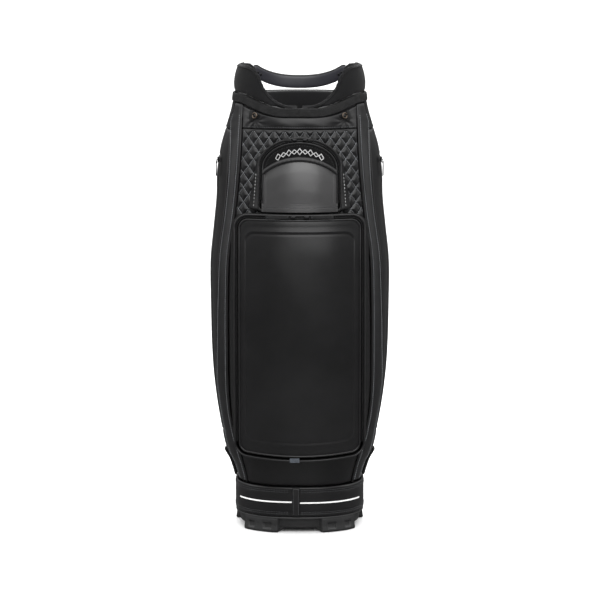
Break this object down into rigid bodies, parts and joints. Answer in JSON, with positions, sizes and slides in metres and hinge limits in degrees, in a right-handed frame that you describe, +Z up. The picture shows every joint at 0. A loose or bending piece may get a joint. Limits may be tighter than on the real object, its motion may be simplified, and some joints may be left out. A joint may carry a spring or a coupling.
{
  "type": "golf staff bag",
  "caption": "Tall padded golf staff bag in black leather with divided club bays, a large zipped front pocket, an upper pocket, side pockets, a top handle, a back handle and a shoulder strap.",
  "frame": {"origin": "middle of the bag's footprint, on the ground plane under its feet", "axes": "+Z up along the bag, -Y out of the pocket side, +X to the right as seen from the pocket side"},
  "size_m": [0.3568, 0.3756, 0.9252],
  "materials": {
    "leather": "fine-grained black synthetic leather, satin",
    "smooth_leather": "smooth black leather with a soft shine",
    "quilted_leather": "black leather over foam, diamond quilted with pale grey thread",
    "webbing": "black woven nylon webbing",
    "knit_fabric": "black knitted mesh",
    "neoprene": "smooth black neoprene over foam",
    "moulded_plastic": "black moulded plastic, fine texture",
    "satin_plastic": "dark grey satin moulded plastic",
    "zip_tape": "black zip tape and teeth",
    "zip_metal": "black lacquered metal",
    "stud_metal": "antique brass and nickel",
    "white_trim": "white piping, matte",
    "foam": "dark closed-cell foam"
  },
  "bodies": {
    "root": {"base_tray": "moulded_plastic", "base_floor_pad": "foam", "base_belt": "leather", "belt_lap": "leather", "belt_stripe_left": "white_trim", "belt_stripe_right": "white_trim", "club_tube": "moulded_plastic", "divider_centre": "knit_fabric", "divider_left_front": "knit_fabric", "divider_left_rear": "knit_fabric", "divider_right_front": "knit_fabric", "divider_right_rear": "knit_fabric", "top_cuff": "moulded_plastic", "rim_binding": "webbing", "collar_pad_left": "neoprene", "collar_pad_right": "neoprene", "top_handle": "satin_plastic", "front_band": "smooth_leather", "quilted_panel": "quilted_leather", "lower_front_panel": "leather", "rail_left": "leather", "side_panel_left": "leather", "shoulder_yoke_left": "webbing", "webbing_tab_left": "webbing", "snap_stud_left": "stud_metal", "rail_right": "leather", "side_panel_right": "leather", "shoulder_yoke_right": "webbing", "webbing_tab_right": "webbing", "snap_stud_right": "stud_metal", "back_panel": "leather", "main_pocket_gusset": "knit_fabric", "main_pocket_zip": "zip_tape", "upper_pocket_gusset": "knit_fabric", "upper_pocket_zip": "zip_tape", "side_zip_left": "zip_tape", "side_zip_right": "zip_tape", "back_spine": "moulded_plastic", "spine_handle": "leather", "strap_anchor_upper": "webbing", "strap_anchor_lower": "webbing"},
    "main_pocket_door": {"main_pocket_door": "leather"},
    "upper_pocket_door": {"upper_pocket_door": "smooth_leather", "upper_pocket_fold": "leather"},
    "side_pocket_door_left": {"side_pocket_door_left": "leather"},
    "main_slider_left": {"main_slider_left": "zip_metal"},
    "main_pull_left": {"main_pull_left": "webbing"},
    "upper_slider_left": {"upper_slider_left": "zip_metal"},
    "upper_pull_left": {"upper_pull_left": "webbing"},
    "side_slider_left": {"side_slider_left": "zip_metal"},
    "side_pull_left": {"side_pull_left": "stud_metal"},
    "side_pocket_door_right": {"side_pocket_door_right": "leather"},
    "main_slider_right": {"main_slider_right": "zip_metal"},
    "main_pull_right": {"main_pull_right": "webbing"},
    "upper_slider_right": {"upper_slider_right": "zip_metal"},
    "upper_pull_right": {"upper_pull_right": "webbing"},
    "side_slider_right": {"side_slider_right": "zip_metal"},
    "side_pull_right": {"side_pull_right": "stud_metal"},
    "shoulder_strap": {"shoulder_strap": "leather"}
  },
  "joints": [
    {"name": "main_pocket_hinge", "type": "hinge", "parent": "root", "child": "main_pocket_door", "pos_m": [0, -0.16992, 0.1653], "axis": [1, 0, 0], "range_deg": [0, 75]},
    {"name": "upper_pocket_hinge", "type": "hinge", "parent": "root", "child": "upper_pocket_door", "pos_m": [0, -0.16771, 0.6503], "axis": [1, 0, 0], "range_deg": [0, 60]},
    {"name": "side_pocket_hinge_left", "type": "hinge", "parent": "root", "child": "side_pocket_door_left", "pos_m": [-0.1377, 0.09743, 0.455], "axis": [0, 0, -1], "range_deg": [0, 50]},
    {"name": "main_zip_run_left", "type": "hinge", "parent": "root", "child": "main_slider_left", "pos_m": [0, 0.06845, 0.634], "axis": [0, 0, -1], "range_deg": [0, 19]},
    {"name": "main_pull_hinge_left", "type": "hinge", "parent": "main_slider_left", "child": "main_pull_left", "pos_m": [-0.0201, -0.1774, 0.634], "axis": [0, 0, 1], "range_deg": [0, 100]},
    {"name": "upper_zip_run_left", "type": "hinge", "parent": "root", "child": "upper_slider_left", "pos_m": [0, -0.11203, 0.69221], "axis": [0, -0.9307, -0.3658], "range_deg": [0, 16]},
    {"name": "upper_pull_hinge_left", "type": "hinge", "parent": "upper_slider_left", "child": "upper_pull_left", "pos_m": [-0.0158, -0.15043, 0.781], "axis": [0, 0, 1], "range_deg": [0, 90]},
    {"name": "side_zip_run_left", "type": "hinge", "parent": "root", "child": "side_slider_left", "pos_m": [1.73835, -0.03971, 0.48155], "axis": [0, -1, 0], "range_deg": [0, 9]},
    {"name": "side_pull_hinge_left", "type": "hinge", "parent": "side_slider_left", "child": "side_pull_left", "pos_m": [-0.16481, -0.04171, 0.731], "axis": [0, 1, 0], "range_deg": [0, 90]},
    {"name": "side_pocket_hinge_right", "type": "hinge", "parent": "root", "child": "side_pocket_door_right", "pos_m": [0.1377, 0.09743, 0.455], "axis": [0, 0, 1], "range_deg": [0, 50]},
    {"name": "main_zip_run_right", "type": "hinge", "parent": "root", "child": "main_slider_right", "pos_m": [0, 0.06845, 0.634], "axis": [0, 0, 1], "range_deg": [0, 19]},
    {"name": "main_pull_hinge_right", "type": "hinge", "parent": "main_slider_right", "child": "main_pull_right", "pos_m": [0.0201, -0.1774, 0.634], "axis": [0, 0, -1], "range_deg": [0, 100]},
    {"name": "upper_zip_run_right", "type": "hinge", "parent": "root", "child": "upper_slider_right", "pos_m": [0, -0.11203, 0.69221], "axis": [0, 0.9307, 0.3658], "range_deg": [0, 16]},
    {"name": "upper_pull_hinge_right", "type": "hinge", "parent": "upper_slider_right", "child": "upper_pull_right", "pos_m": [0.0158, -0.15043, 0.781], "axis": [0, 0, -1], "range_deg": [0, 90]},
    {"name": "side_zip_run_right", "type": "hinge", "parent": "root", "child": "side_slider_right", "pos_m": [-1.73835, -0.03971, 0.48155], "axis": [0, 1, 0], "range_deg": [0, 9]},
    {"name": "side_pull_hinge_right", "type": "hinge", "parent": "side_slider_right", "child": "side_pull_right", "pos_m": [0.16481, -0.04171, 0.731], "axis": [0, -1, 0], "range_deg": [0, 90]},
    {"name": "strap_swing", "type": "hinge", "parent": "root", "child": "shoulder_strap", "pos_m": [0.076, 0.14083, 0.56], "axis": [0, -0.0041, 1], "range_deg": [-20, 20]}
  ],
  "couplings": [
    {"joint": "main_zip_run_left", "follows": "main_pocket_hinge", "ratio": 0.25323},
    {"joint": "upper_zip_run_left", "follows": "upper_pocket_hinge", "ratio": 0.26657},
    {"joint": "side_zip_run_left", "follows": "side_pocket_hinge_left", "ratio": 0.1799},
    {"joint": "main_zip_run_right", "follows": "main_pocket_hinge", "ratio": 0.25323},
    {"joint": "upper_zip_run_right", "follows": "upper_pocket_hinge", "ratio": 0.26657},
    {"joint": "side_zip_run_right", "follows": "side_pocket_hinge_right", "ratio": 0.1799}
  ]
}
